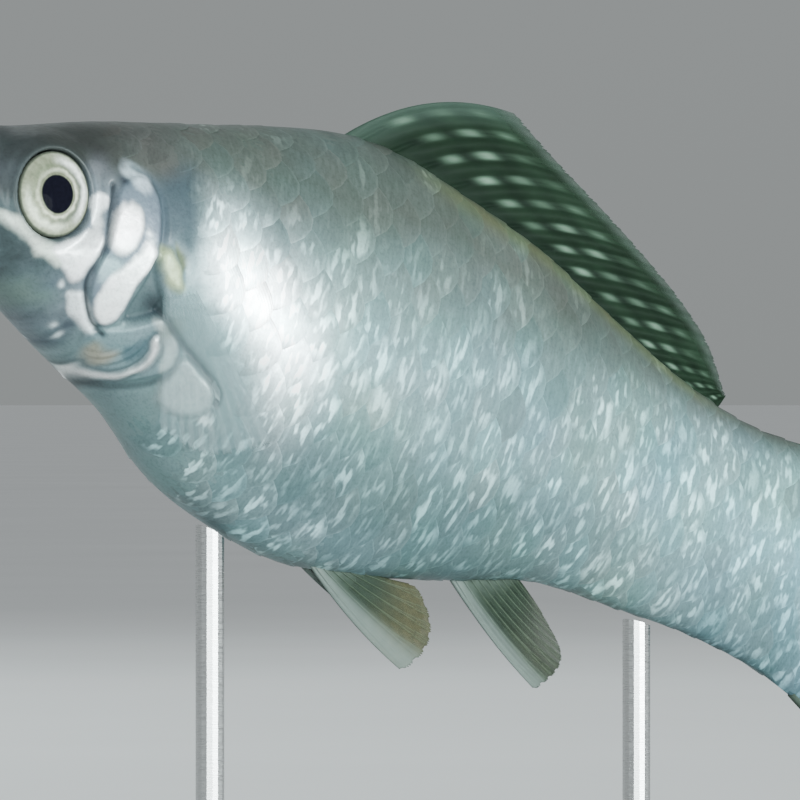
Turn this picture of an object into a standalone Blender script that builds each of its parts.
"""A sailfin molly, a live-bearing pond fish, as a still, life-size museum model on a plain stand.

The fish is modelled level, nose at x = 0 and tail towards +X, and an empty then tips it nose-up
over its stand. Lengths are in metres.
"""

import math

import bmesh
import bpy
import numpy as np
from mathutils import Vector

MM = 0.001
GAP = 0.3 * MM

# Driving sizes of the fish.
STANDARD_LENGTH = 77.5 * MM
CAUDAL_LENGTH = 19.0 * MM
NOSE_UP = math.radians(20.3)

# Body stations from nose to tail root: distance, top line, bottom line, half width.
HEAD_AT = (0.0, 0.35, 1.2, 3.5, 7.0, 11.0, 16.0)
TRUNK_AT = (20.0, 24.0, 30.0, 34.0, 38.0, 46.0, 53.0)
STALK_AT = (60.0, 66.0, 72.0, 77.5)
STATIONS = np.array(HEAD_AT + TRUNK_AT + STALK_AT) * MM
HEAD_TOP = (1.55, 2.2, 2.95, 4.15, 5.5, 7.3, 9.3)
TRUNK_TOP = (10.8, 12.3, 14.0, 14.2, 13.7, 12.4, 10.3)
STALK_TOP = (8.5, 7.8, 8.4, 9.2)
TOP_LINE = np.array(HEAD_TOP + TRUNK_TOP + STALK_TOP) * MM
HEAD_BOTTOM = (0.75, 0.15, -0.45, -1.75, -3.3, -5.1, -7.2)
TRUNK_BOTTOM = (-8.8, -11.2, -12.7, -13.0, -12.4, -10.1, -7.7)
STALK_BOTTOM = (-7.1, -6.8, -7.2, -8.4)
BOTTOM_LINE = np.array(HEAD_BOTTOM + TRUNK_BOTTOM + STALK_BOTTOM) * MM
HEAD_HALF_WIDTH = (0.8, 1.65, 2.45, 3.5, 4.5, 5.3, 6.1)
TRUNK_HALF_WIDTH = (6.5, 6.9, 7.4, 7.4, 7.1, 6.0, 4.7)
STALK_HALF_WIDTH = (3.5, 2.7, 2.1, 1.5)
HALF_WIDTH = np.array(HEAD_HALF_WIDTH + TRUNK_HALF_WIDTH + STALK_HALF_WIDTH) * MM
WIDEST_LEVEL = 0.47
HEAD_SQUARENESS = 2.25
BACK_SQUARENESS = 1.95
HEAD_BLEND_END = 26.0 * MM

# Seams between head, trunk and tail stalk. Each seam curves with the height of the point on it.
GILL_SEAM = 16.7 * MM
GILL_SEAM_RISE_TOP = 2.8 * MM
GILL_SEAM_RISE_BOTTOM = 1.6 * MM
STALK_SEAM = 55.0 * MM
ROOT_SEAM_RISE = 2.6 * MM

# How finely the body is divided, and how far the cutting blocks reach past it.
AROUND = 32
HEAD_RINGS, TRUNK_RINGS, STALK_RINGS = 22, 18, 10
HEAD_CROWD = 1.5
SIDE_SAMPLES = 400
BLOCK_HALF_WIDTH = 9.0 * MM
CLEAR_OF_SIDE = 11.0 * MM

# Eye.
EYE_AT = Vector((8.85, 3.75, 1.5)) * MM
EYE_RADIUS = 2.6 * MM
EYE_DEPTH = 1.65 * MM
EYE_TURN = math.radians(4.0)
EYE_DIVISIONS, EYE_ROOM_DIVISIONS = (20, 10), (28, 12)
RIM_RADIUS = 0.36 * MM
RIM_INSET = 0.8 * MM
RIM_POINTS = 24

# Mouth, nostrils and gill cover.
MOUTH_TIP = (0.0 * MM, 1.35 * MM)
MOUTH_CORNER = (3.3 * MM, -0.15 * MM)
JAW_HINGE = (6.0 * MM, -4.0 * MM)
LIP_RADIUS = 0.4 * MM
LIP_SINK = 0.5
LIP_LIFT = 0.12 * MM
LIP_POINTS = 6
NOSTRILS = ((3.1 * MM, 2.3 * MM), (4.4 * MM, 3.0 * MM))
NOSTRIL_RADIUS = 0.32 * MM
BAR_SIDES = 8
COVER_CENTRE = (14.35 * MM, -0.8 * MM)
COVER_RADII = (2.1 * MM, 4.9 * MM)
COVER_LEAN = math.radians(9.0)
COVER_INNER = 2.8 * MM
COVER_PROUD = 0.28 * MM
COVER_POINTS = 28

# Stand.
LOWEST_FIN_CLEARANCE = 9.0 * MM
BASE_SIZE = Vector((66.0, 36.0, 4.0)) * MM
BASE_X = -7.0 * MM
BASE_BEVEL = 1.0 * MM
BASE_CORNER = 6.0 * MM
ROD_RADIUS = 0.9 * MM
ROD_SIDES = 16
ROD_AT = (29.0 * MM, 61.5 * MM)

SKIN = ("skin", (0.56, 0.60, 0.60), 0.34, 0.45)
COVER = ("gill_cover", (0.74, 0.78, 0.78), 0.26, 0.6)
FIN = ("fin", (0.50, 0.54, 0.50), 0.45, 0.1)
SAIL = ("sail_fin", (0.20, 0.26, 0.24), 0.45, 0.05)
EYE = ("eye", (0.72, 0.74, 0.62), 0.18, 0.4)
STAND = ("stand", (0.16, 0.16, 0.17), 0.5, 0.0)
ROD = ("rod", (0.62, 0.62, 0.60), 0.3, 0.9)


def through(stations, values, at):
    """Smooth curve through the values at the stations: cubic pieces whose slopes are those of the chords."""
    slopes = np.gradient(values, stations)
    at = np.clip(at, stations[0], stations[-1])
    i = np.clip(np.searchsorted(stations, at, side="right") - 1, 0, len(stations) - 2)
    width = stations[i + 1] - stations[i]
    t = (at - stations[i]) / width
    start, end = values[i], values[i + 1]
    rise_start, rise_end = slopes[i] * width, slopes[i + 1] * width
    return (
        start * (2 * t**3 - 3 * t**2 + 1)
        + rise_start * (t**3 - 2 * t**2 + t)
        + end * (3 * t**2 - 2 * t**3)
        + rise_end * (t**3 - t**2)
    )


def top_line(s):
    return through(STATIONS, TOP_LINE, s)


def bottom_line(s):
    return through(STATIONS, BOTTOM_LINE, s)


def half_width(s):
    return through(STATIONS, HALF_WIDTH, s)


def body_point(s, angle, inflate=0.0):
    """Skin point at distance s and angle round the section, from 0 at the back to pi at the belly."""
    s, angle = np.broadcast_arrays(np.asarray(s, float), np.asarray(angle, float))
    top, bottom, wide = top_line(s), bottom_line(s), half_width(s) + inflate
    level = bottom + WIDEST_LEVEL * (top - bottom)
    ease = np.clip(s / HEAD_BLEND_END, 0, 1)
    square = HEAD_SQUARENESS + (BACK_SQUARENESS - HEAD_SQUARENESS) * ease * ease * (3 - 2 * ease)
    side, up = np.sin(angle), np.cos(angle)
    reach = np.where(up > 0, top - level, level - bottom)
    y = wide * np.sign(side) * np.abs(side) ** (2 / square)
    z = level + reach * np.sign(up) * np.abs(up) ** (2 / square)
    return np.stack([s, y, z], axis=-1)


def side_at(s, z):
    """Half width of the body at distance s and height z."""
    angles = np.linspace(0.02, math.pi - 0.02, SIDE_SAMPLES)
    ring = body_point(np.full(SIDE_SAMPLES, s), angles)
    return float(np.interp(-z, -ring[:, 2], ring[:, 1]))


def gill_seam(angle):
    up = np.cos(angle)
    rise_top = GILL_SEAM_RISE_TOP * np.clip(up, 0, 1) ** 2
    rise_bottom = GILL_SEAM_RISE_BOTTOM * np.clip(-up, 0, 1) ** 2
    return GILL_SEAM - rise_top - rise_bottom


def stalk_seam(angle):
    return np.full_like(angle, STALK_SEAM)


def root_seam(angle):
    return STANDARD_LENGTH - ROOT_SEAM_RISE * np.cos(angle) ** 2


def nose_seam(angle):
    return np.zeros_like(angle)


def paint(obj, finish):
    """Gives the object its own plain material of that colour, roughness and metallic value."""
    label, colour, roughness, metallic = finish
    material = bpy.data.materials.new(f"{obj.name}_{label}")
    material.use_nodes = True
    shader = material.node_tree.nodes["Principled BSDF"]
    shader.inputs["Base Color"].default_value = (*colour, 1.0)
    shader.inputs["Roughness"].default_value = roughness
    shader.inputs["Metallic"].default_value = metallic
    obj.data.materials.clear()
    obj.data.materials.append(material)
    return obj


def add_mesh(name, points, faces, parent=None, smooth=True):
    mesh = bpy.data.meshes.new(name)
    mesh.from_pydata([tuple(p) for p in points], [], faces)
    mesh.validate()
    if smooth:
        mesh.shade_smooth()
        mesh.set_sharp_from_angle(angle=math.radians(40))
    obj = bpy.data.objects.new(name, mesh)
    bpy.context.scene.collection.objects.link(obj)
    obj.parent = parent
    return obj


def body_length(name, start, end, rows, parent, inflate=0.0, crowd=1.0):
    """A length of the body between two seams, closed by strips that run straight across at each seam.

    A crowd over 1 sets the rings closer together towards the first seam.
    """
    angle = np.linspace(0, 2 * math.pi, AROUND, endpoint=False)
    first, last = start(angle), end(angle)
    shares = [(i / rows) ** crowd for i in range(rows + 1)]
    rings = [body_point(first + (last - first) * share, angle, inflate) for share in shares]
    faces = []
    for i in range(rows):
        for j in range(AROUND):
            k = (j + 1) % AROUND
            faces.append(((i + 1) * AROUND + j, (i + 1) * AROUND + k, i * AROUND + k, i * AROUND + j))
    for ring, turn in ((0, True), (rows, False)):
        for j in range(AROUND // 2):
            corners = [j, j + 1, AROUND - j - 1, (AROUND - j) % AROUND]
            corners = [ring * AROUND + c for c in dict.fromkeys(corners)]
            faces.append(tuple(corners if turn else corners[::-1]))
    return add_mesh(name, np.concatenate(rings), faces, parent)


def as_cutter(obj):
    obj.hide_render = True
    obj.display_type = "WIRE"
    return obj


def touching_faces(first, left):
    """The closed surface that the first face belongs to, taken out of the faces that are left."""
    surface, fresh = [first], [first]
    while fresh:
        for edge in fresh.pop().edges:
            for face in edge.link_faces:
                if face in left:
                    left.discard(face)
                    surface.append(face)
                    fresh.append(face)
    return surface


def keep_largest(mesh):
    """Leaves only the closed surface with the largest area."""
    work = bmesh.new()
    work.from_mesh(mesh)
    left = set(work.faces)
    surfaces = []
    while left:
        surfaces.append(touching_faces(left.pop(), left))
    surfaces.sort(key=lambda faces: sum(face.calc_area() for face in faces))
    crumbs = {vertex for faces in surfaces[:-1] for face in faces for vertex in face.verts}
    bmesh.ops.delete(work, geom=list(crumbs), context="VERTS")
    work.to_mesh(mesh)
    work.free()


def cut(obj, other, operation="DIFFERENCE"):
    """Applies a Boolean with the other object, which is then removed, and keeps the largest surface."""
    modifier = obj.modifiers.new(operation.lower(), "BOOLEAN")
    modifier.operation = operation
    modifier.object = other
    modifier.solver = "EXACT"
    bpy.context.view_layer.update()
    graph = bpy.context.evaluated_depsgraph_get()
    mesh = bpy.data.meshes.new_from_object(obj.evaluated_get(graph))
    keep_largest(mesh)
    obj.modifiers.clear()
    obj.data = mesh
    bpy.data.objects.remove(other)
    return obj


def prism(name, outline, low, high, parent):
    """A prism across the body from y = low to y = high, on an outline of (x, z) points."""
    count = len(outline)
    points = [(x, y, z) for y in (low, high) for x, z in outline]
    faces = [tuple(range(count)), tuple(range(2 * count - 1, count - 1, -1))]
    for i in range(count):
        j = (i + 1) % count
        faces.append((i, i + count, j + count, j))
    return as_cutter(add_mesh(name, points, faces, parent, smooth=False))


def ellipsoid(name, centre, radii, turn, parent, segments=24, rings=12):
    """An ellipsoid with its poles along Y, turned about Z."""
    points, faces = [], []
    spin_c, spin_s = math.cos(turn), math.sin(turn)
    for i in range(1, rings):
        tilt = math.pi * i / rings
        for j in range(segments):
            a = 2 * math.pi * j / segments
            x = radii[0] * math.sin(tilt) * math.cos(a)
            z = radii[2] * math.sin(tilt) * math.sin(a)
            y = radii[1] * math.cos(tilt)
            points.append((x * spin_c - y * spin_s, x * spin_s + y * spin_c, z))
    last = len(points)
    points.append((-radii[1] * spin_s, radii[1] * spin_c, 0))
    points.append((radii[1] * spin_s, -radii[1] * spin_c, 0))
    for j in range(segments):
        k = (j + 1) % segments
        faces.append((last, k, j))
        faces.append((last + 1, (rings - 2) * segments + j, (rings - 2) * segments + k))
        for i in range(rings - 2):
            faces.append((i * segments + j, i * segments + k, (i + 1) * segments + k, (i + 1) * segments + j))
    return add_mesh(name, [Vector(p) + centre for p in points], faces, parent)


def tube(name, path, radius, parent, sides=BAR_SIDES, closed=False):
    """A round bar along a list of points. Its ends, where it has them, are flat."""
    path = [Vector(p) for p in path]
    count = len(path)
    points, faces = [], []
    for i, at in enumerate(path):
        before = path[i - 1] if i or closed else at
        after = path[(i + 1) % count] if i < count - 1 or closed else at
        along = (after - before).normalized()
        across = along.cross(Vector((0, 0, 1)) if abs(along.z) < 0.9 else Vector((1, 0, 0))).normalized()
        if closed:
            across = along.cross(Vector((0, 1, 0))).normalized()
        up = across.cross(along)
        for j in range(sides):
            a = 2 * math.pi * j / sides
            points.append(at + (across * math.cos(a) + up * math.sin(a)) * radius)
    for i in range(count if closed else count - 1):
        n = (i + 1) % count
        for j in range(sides):
            k = (j + 1) % sides
            faces.append((i * sides + j, n * sides + j, n * sides + k, i * sides + k))
    if not closed:
        faces.append(tuple(range(sides)))
        faces.append(tuple((count - 1) * sides + j for j in reversed(range(sides))))
    return add_mesh(name, points, faces, parent)


def mouth_height(s):
    share = (s - MOUTH_TIP[0]) / (MOUTH_CORNER[0] - MOUTH_TIP[0])
    return MOUTH_TIP[1] + share * (MOUTH_CORNER[1] - MOUTH_TIP[1])


def lip(name, offset, parent):
    """A lip: a bar that follows the mouth round the snout, offset above or below its line."""
    side = []
    for s in np.linspace(MOUTH_CORNER[0] + 0.2 * MM, 0.25 * MM, LIP_POINTS):
        z = mouth_height(s) + offset
        side.append(Vector((s, side_at(max(s, 0.5 * MM), z) - LIP_SINK * LIP_RADIUS, z)))
    height = MOUTH_TIP[1] + offset
    half = side + [Vector((0.05 * MM, 0.6 * side[-1].y, height)), Vector((-0.05 * MM, 0, height))]
    path = [Vector((p.x, -p.y, p.z)) for p in half[:-1]] + half[::-1]
    return tube(name, path, LIP_RADIUS, parent)


def jaw_outline(spread):
    """Side outline of the lower jaw's cut, counter-clockwise, grown by spread along the mouth and behind."""
    ahead, below = -3 * MM, -7 * MM
    slope = (MOUTH_CORNER[1] - MOUTH_TIP[1]) / (MOUTH_CORNER[0] - MOUTH_TIP[0])
    corner = (MOUTH_CORNER[0] + spread, MOUTH_CORNER[1] + spread)
    return [
        (ahead, below),
        (JAW_HINGE[0] + spread, below),
        (JAW_HINGE[0] + spread, JAW_HINGE[1]),
        corner,
        (ahead, corner[1] + slope * (ahead - corner[0])),
    ]


def cover_prism(name, side, spread, parent):
    """An oval bar across one side of the head, from inside it to well clear of the skin."""
    outline = []
    for i in range(COVER_POINTS):
        a = 2 * math.pi * i / COVER_POINTS
        x, z = (COVER_RADII[0] + spread) * math.cos(a), (COVER_RADII[1] + spread) * math.sin(a)
        lean_x = x * math.cos(COVER_LEAN) - z * math.sin(COVER_LEAN)
        lean_z = x * math.sin(COVER_LEAN) + z * math.cos(COVER_LEAN)
        outline.append((COVER_CENTRE[0] + lean_x, COVER_CENTRE[1] + lean_z))
    inner, outer = COVER_INNER - spread, CLEAR_OF_SIDE
    low, high = (inner, outer) if side > 0 else (-outer, -inner)
    return prism(name, outline, low, high, parent)


def make_head(pose):
    half = BLOCK_HALF_WIDTH
    head = body_length("head", nose_seam, gill_seam, HEAD_RINGS, pose, crowd=HEAD_CROWD)
    jaw = body_length("lower_jaw", nose_seam, gill_seam, HEAD_RINGS, pose, crowd=HEAD_CROWD)
    jaw = cut(jaw, prism("jaw_block", jaw_outline(0.0), -half, half, pose), "INTERSECT")
    lower_lip = lip("lower_lip", -LIP_RADIUS - LIP_LIFT, pose)
    paint(cut(jaw, lower_lip, "UNION"), SKIN)
    upper_lip = lip("upper_lip", LIP_RADIUS + GAP + LIP_LIFT, pose)
    cut(head, prism("jaw_room", jaw_outline(GAP), -half, half, pose))
    cut(head, upper_lip, "UNION")
    for side, word in ((-1, "left"), (1, "right")):
        centre = Vector((EYE_AT.x, side * EYE_AT.y, EYE_AT.z))
        turn = side * EYE_TURN
        radii = (EYE_RADIUS, EYE_DEPTH, EYE_RADIUS)
        eye = ellipsoid(f"eye_{word}", centre, radii, turn, pose, *EYE_DIVISIONS)
        paint(eye, EYE)
        cut(head, eye_rim(side, pose), "UNION")
        cover_name = f"gill_cover_{word}"
        cover = body_length(cover_name, nose_seam, gill_seam, HEAD_RINGS, pose, COVER_PROUD, HEAD_CROWD)
        paint(cut(cover, cover_prism("cover_block", side, 0.0, pose), "INTERSECT"), COVER)
        cut(head, cover_prism("cover_room", side, GAP, pose))
        room = (EYE_RADIUS + GAP, EYE_DEPTH + GAP, EYE_RADIUS + GAP)
        cut(head, as_cutter(ellipsoid("eye_room", centre, room, turn, pose, *EYE_ROOM_DIVISIONS)))
        for s, z in NOSTRILS:
            y = side * side_at(s, z)
            inner = Vector((s - 0.1 * MM, y * 0.86, z - 0.2 * MM))
            outer = Vector((s - 0.1 * MM, y * 1.2, z + 0.3 * MM))
            cut(head, as_cutter(tube("nostril", [inner, outer], NOSTRIL_RADIUS, pose)))
    return paint(head, SKIN)


def eye_rim(side, pose):
    """The low ring of skin round the eye."""
    out = EYE_AT.y + EYE_DEPTH - RIM_INSET
    reach = EYE_RADIUS + GAP
    path = []
    for i in range(RIM_POINTS):
        a = 2 * math.pi * i / RIM_POINTS
        x, z = reach * math.cos(a), reach * math.sin(a)
        turned_x = x * math.cos(EYE_TURN)
        turned_y = side * (out - EYE_AT.y) + side * x * math.sin(EYE_TURN)
        y = side * side_at(EYE_AT.x + turned_x, EYE_AT.z + z)
        path.append(Vector((EYE_AT.x + turned_x, 0.6 * y + 0.4 * (side * EYE_AT.y + turned_y), EYE_AT.z + z)))
    return tube("eye_rim", path, RIM_RADIUS, pose, closed=True)


def seam_after(seam):
    return lambda angle: seam(angle) + GAP


def make_trunk(pose):
    paint(body_length("trunk", seam_after(gill_seam), stalk_seam, TRUNK_RINGS, pose), SKIN)
    paint(body_length("tail_stalk", seam_after(stalk_seam), root_seam, STALK_RINGS, pose), SKIN)


def ray_columns(rays):
    """Places across a fin of each ray's two feet and crest, between the fin's two edges."""
    places, crest = [0.0], [0.0]
    for k in range(rays):
        for share, height in ((0.27, 0.0), (0.5, 1.0), (0.73, 0.0)):
            places.append((k + share) / rays)
            crest.append(height)
    return np.array(places + [1.0]), np.array(crest + [0.0])


def fin(name, rays, rows, outline, normal, sizes, finish, pose):
    """A fin: a thin plate with a ridge along each ray on both faces.

    outline(across) gives the root point, the tip point and the bow of each ray as arrays of (x, y, z);
    sizes is half the membrane at the root and at the edge, and the height of a ridge.
    """
    across, crest = ray_columns(rays)
    root, tip, bow = outline(across)
    root_half, edge_half, ridge = sizes
    normal = np.array(normal) / np.linalg.norm(normal)
    nick = np.where(crest > 0, 1.0, 0.965)
    faces, middle, half = [], [], []
    columns = len(across)
    for i in range(rows + 1):
        u = i / rows
        reach = (u * nick)[:, None]
        middle.append(root + (tip - root) * reach + bow * 4 * reach * (1 - reach))
        half.append(root_half + (edge_half - root_half) * u + ridge * crest * (1 - 0.75 * u))
    middle, half = np.concatenate(middle), np.concatenate(half)[:, None]
    points = np.concatenate([middle + normal * half, middle - normal * half])
    far = len(middle)

    def both(a, b, c):
        faces.append((a, b, c))
        faces.append((far + c, far + b, far + a))

    for i in range(rows):
        for j in range(columns - 1):
            a, b = i * columns + j, i * columns + j + 1
            c, d = b + columns, a + columns
            both(a, b, c)
            both(a, c, d)
    rim = list(range(columns))
    rim += [i * columns + columns - 1 for i in range(1, rows + 1)]
    rim += [rows * columns + j for j in range(columns - 2, -1, -1)]
    rim += [i * columns for i in range(rows - 1, 0, -1)]
    for a, b in zip(rim, rim[1:] + rim[:1]):
        faces.append((b, a, far + a))
        faces.append((b, far + a, far + b))
    obj = add_mesh(name, points, faces, pose)
    return paint(face_out(obj), finish)


def face_out(obj):
    """Turns the faces round if they point inwards."""
    mesh = obj.data
    points = np.array([v.co for v in mesh.vertices])
    corners = np.array([tuple(p.vertices) for p in mesh.polygons])
    first, second, third = (points[corners[:, i]] for i in range(3))
    volume = np.einsum("ij,ij->i", first, np.cross(second, third)).sum()
    if volume < 0:
        mesh.flip_normals()
    return obj


def plane_points(x, z, y=0.0):
    x, z = np.broadcast_arrays(np.asarray(x, float), np.asarray(z, float))
    return np.stack([x, np.full_like(x, y), z], axis=-1)


# The sail: a long dorsal fin, carried half folded, so that its rays lean back along the body.
SAIL_ROOT = (29.3 * MM, 62.6 * MM)
SAIL_TIPS_X = np.array([42.0, 46.0, 50.0, 54.6, 58.0, 61.0, 63.4]) * MM
SAIL_TIPS_Z = np.array([19.9, 18.2, 16.6, 14.6, 13.0, 11.2, 8.9]) * MM
SAIL_FOLD = 1.85
SAIL_BOW = 2.0 * MM


def sail_outline(v):
    x = SAIL_ROOT[0] + (SAIL_ROOT[1] - SAIL_ROOT[0]) * v
    root = plane_points(x, top_line(x) + GAP)
    tip_x = SAIL_TIPS_X[0] + (SAIL_TIPS_X[-1] - SAIL_TIPS_X[0]) * (1 - (1 - v) ** SAIL_FOLD)
    tip = plane_points(tip_x, through(SAIL_TIPS_X, SAIL_TIPS_Z, tip_x))
    bow = plane_points(-0.35 * SAIL_BOW * (1 - v) ** 2, SAIL_BOW * (1 - v) ** 2 * 0.62 + 0.15 * MM)
    return root, tip, bow


CAUDAL_SPREAD = math.radians(17.0)
CAUDAL_ROOT = (8.5 * MM, -7.7 * MM)


def caudal_outline(v):
    z = CAUDAL_ROOT[0] + (CAUDAL_ROOT[1] - CAUDAL_ROOT[0]) * v
    middle = sum(CAUDAL_ROOT) / 2
    share = (z - middle) / (CAUDAL_ROOT[0] - middle)
    x = STANDARD_LENGTH - ROOT_SEAM_RISE * np.abs(share) ** 1.8 + GAP + 0.15 * MM
    angle = share * CAUDAL_SPREAD
    length = CAUDAL_LENGTH * (1 - 0.10 * share**2) + (STANDARD_LENGTH - x) * 0.6
    root = plane_points(x, z)
    tip = plane_points(x + length * np.cos(angle), z + length * np.sin(angle))
    bow = plane_points(0, 0.5 * MM * share)
    return root, tip, bow


ANAL_ROOT = (46.4 * MM, 51.2 * MM)
ANAL_TIPS = ((55.9 * MM, -13.9 * MM), (56.7 * MM, -11.5 * MM), (54.5 * MM, -9.0 * MM))


def along_tips(v, tips):
    """Points (x, z) of a fin's outer edge, on the parabola through its three tip points."""
    first, middle, last = (np.array(p) for p in tips)
    v = v[:, None]
    return first * (1 - v) * (1 - 2 * v) + middle * 4 * v * (1 - v) + last * v * (2 * v - 1)


def anal_outline(v):
    x = ANAL_ROOT[0] + (ANAL_ROOT[1] - ANAL_ROOT[0]) * v
    root = plane_points(x, bottom_line(x) - GAP - 0.1 * MM)
    edge = along_tips(v, ANAL_TIPS)
    return root, plane_points(edge[:, 0], edge[:, 1]), plane_points(0, -0.4 * MM * (1 - v))


PELVIC_ROOT = (35.9 * MM, 39.0 * MM)
PELVIC_ANGLE_ROUND = math.radians(174.3)
NEAR_PELVIC_TIPS = ((44.9 * MM, -16.4 * MM), (46.2 * MM, -13.6 * MM), (44.2 * MM, -11.0 * MM))
FAR_PELVIC_TIPS = ((46.4 * MM, -14.5 * MM), (46.9 * MM, -12.4 * MM), (44.9 * MM, -10.6 * MM))
PELVIC_FLARE = math.radians(3.0)


def pelvic_outline(side):
    """The near fin is spread, and the far one is laid back a little further behind it."""
    tips = NEAR_PELVIC_TIPS if side < 0 else FAR_PELVIC_TIPS

    def outline(v):
        x = PELVIC_ROOT[0] + (PELVIC_ROOT[1] - PELVIC_ROOT[0]) * v
        root = body_point(x, PELVIC_ANGLE_ROUND)
        root[:, 1] *= side
        root[:, 2] -= GAP + 0.1 * MM
        edge = along_tips(v, tips)
        tip = plane_points(edge[:, 0], edge[:, 1])
        tip[:, 1] = root[:, 1] + side * math.tan(PELVIC_FLARE) * (edge[:, 0] - x)
        return root, tip, plane_points(0, -0.4 * MM * (1 - v))

    return outline


# The near pectoral fin paddles downwards, and the far one lies back along the flank. Each stroke is
# the first and last ray's root, the two rays' angles, and how far the fin stands off the flank.
PECTORAL_LENGTHS = (10.8 * MM, 8.8 * MM)
PADDLING = (
    ((19.1 * MM, -0.3 * MM), (17.4 * MM, -1.4 * MM)),
    (math.radians(-48.0), math.radians(-82.0)),
    math.radians(14.0),
)
RESTING = (
    ((17.6 * MM, 0.8 * MM), (18.3 * MM, -1.8 * MM)),
    (math.radians(-6.0), math.radians(-36.0)),
    math.radians(9.0),
)


def pectoral_outline(side, roots, angles, flare):
    def outline(v):
        x = roots[0][0] + (roots[1][0] - roots[0][0]) * v
        z = roots[0][1] + (roots[1][1] - roots[0][1]) * v
        skin = np.array([side_at(a, b) for a, b in zip(x, z)])
        root = np.stack([x, side * (skin + GAP + 0.3 * MM), z], axis=-1)
        angle = angles[0] + (angles[1] - angles[0]) * v
        length = PECTORAL_LENGTHS[0] + (PECTORAL_LENGTHS[1] - PECTORAL_LENGTHS[0]) * v
        length = length + 0.6 * MM * np.sin(math.pi * v)
        out, flat = math.sin(flare), math.cos(flare)
        across = np.full_like(x, side * out)
        reach = length[:, None] * np.stack([flat * np.cos(angle), across, flat * np.sin(angle)], axis=-1)
        bow = np.stack([0 * x, np.full_like(x, side * 0.35 * MM), 0 * x], axis=-1)
        return root, root + reach, bow

    return outline


def make_fins(pose):
    across = (0, 1, 0)
    fin("dorsal_fin", 14, 6, sail_outline, across, (0.32 * MM, 0.18 * MM, 0.2 * MM), SAIL, pose)
    fin("caudal_fin", 16, 6, caudal_outline, across, (0.5 * MM, 0.18 * MM, 0.25 * MM), FIN, pose)
    fin("anal_fin", 9, 5, anal_outline, across, (0.3 * MM, 0.18 * MM, 0.2 * MM), FIN, pose)
    for side, word, stroke in ((-1, "left", PADDLING), (1, "right", RESTING)):
        sizes = (0.28 * MM, 0.17 * MM, 0.17 * MM)
        normal = (-math.sin(PELVIC_FLARE), side * math.cos(PELVIC_FLARE), 0)
        fin(f"pelvic_fin_{word}", 6, 5, pelvic_outline(side), normal, sizes, FIN, pose)
        tilt, flare = sum(stroke[1]) / 2, stroke[2]
        out = math.sin(flare)
        normal = (-out * math.cos(tilt), side * math.cos(flare), -out * math.sin(tilt))
        fin(f"pectoral_fin_{word}", 10, 4, pectoral_outline(side, *stroke), normal, sizes, FIN, pose)


def place(pose):
    """Tips the fish nose-up and sets it over the floor, its whole length centred on the origin."""
    pose.rotation_euler = (0, NOSE_UP, 0)
    bpy.context.view_layer.update()
    low, high = Vector((1, 1, 1)), Vector((-1, -1, -1))
    for obj in pose.children:
        for vertex in obj.data.vertices:
            at = obj.matrix_world @ vertex.co
            low = Vector(map(min, low, at))
            high = Vector(map(max, high, at))
    pose.location = (-(low.x + high.x) / 2, 0, LOWEST_FIN_CLEARANCE - low.z)
    bpy.context.view_layer.update()
    print("fish spans", high - low, "pose at", tuple(pose.location))


def make_base():
    bpy.ops.mesh.primitive_cube_add(size=1)
    base = bpy.context.active_object
    base.name = base.data.name = "stand_base"
    for vertex in base.data.vertices:
        at = vertex.co
        vertex.co = (at.x * BASE_SIZE.x, at.y * BASE_SIZE.y, (at.z + 0.5) * BASE_SIZE.z)
    base.location = (BASE_X, 0, 0)
    corner = base.modifiers.new("corner", "BEVEL")
    corner.width, corner.segments = BASE_CORNER, 5
    corner.limit_method = "WEIGHT"
    weights = base.data.attributes.new("bevel_weight_edge", "FLOAT", "EDGE")
    for edge in base.data.edges:
        a, b = (base.data.vertices[i].co for i in edge.vertices)
        weights.data[edge.index].value = float(abs(a.z - b.z) > 0.5 * BASE_SIZE.z)
    edge_round = base.modifiers.new("edge", "BEVEL")
    edge_round.width, edge_round.segments = BASE_BEVEL, 2
    edge_round.limit_method = "ANGLE"
    edge_round.angle_limit = math.radians(60)
    return paint(base, STAND)


def belly_height(pose, x):
    """World height of the lowest line of the posed body above a world x."""
    s = np.linspace(0, STANDARD_LENGTH, 600)
    z = bottom_line(s)
    world_x = pose.location.x + s * math.cos(NOSE_UP) + z * math.sin(NOSE_UP)
    world_z = pose.location.z - s * math.sin(NOSE_UP) + z * math.cos(NOSE_UP)
    return float(np.interp(x, world_x, world_z))


def make_rods(pose):
    sides = ROD_SIDES
    for word, s in zip(("front", "rear"), ROD_AT):
        middle = pose.location.x + s * math.cos(NOSE_UP) + float(bottom_line(np.array(s))) * math.sin(NOSE_UP)
        points, faces = [], []
        for level in (0, 1):
            for j in range(sides):
                a = 2 * math.pi * j / sides
                x, y = middle + ROD_RADIUS * math.cos(a), ROD_RADIUS * math.sin(a)
                points.append((x, y, belly_height(pose, x) - GAP if level else BASE_SIZE.z + GAP))
        for j in range(sides):
            k = (j + 1) % sides
            faces.append((j, k, sides + k, sides + j))
        faces.append(tuple(reversed(range(sides))))
        faces.append(tuple(range(sides, 2 * sides)))
        paint(add_mesh(f"stand_rod_{word}", points, faces), ROD)


def main():
    for obj in list(bpy.data.objects):
        bpy.data.objects.remove(obj)
    pose = bpy.data.objects.new("fish_pose", None)
    bpy.context.scene.collection.objects.link(pose)
    make_head(pose)
    make_trunk(pose)
    make_fins(pose)
    place(pose)
    make_base()
    make_rods(pose)


main()
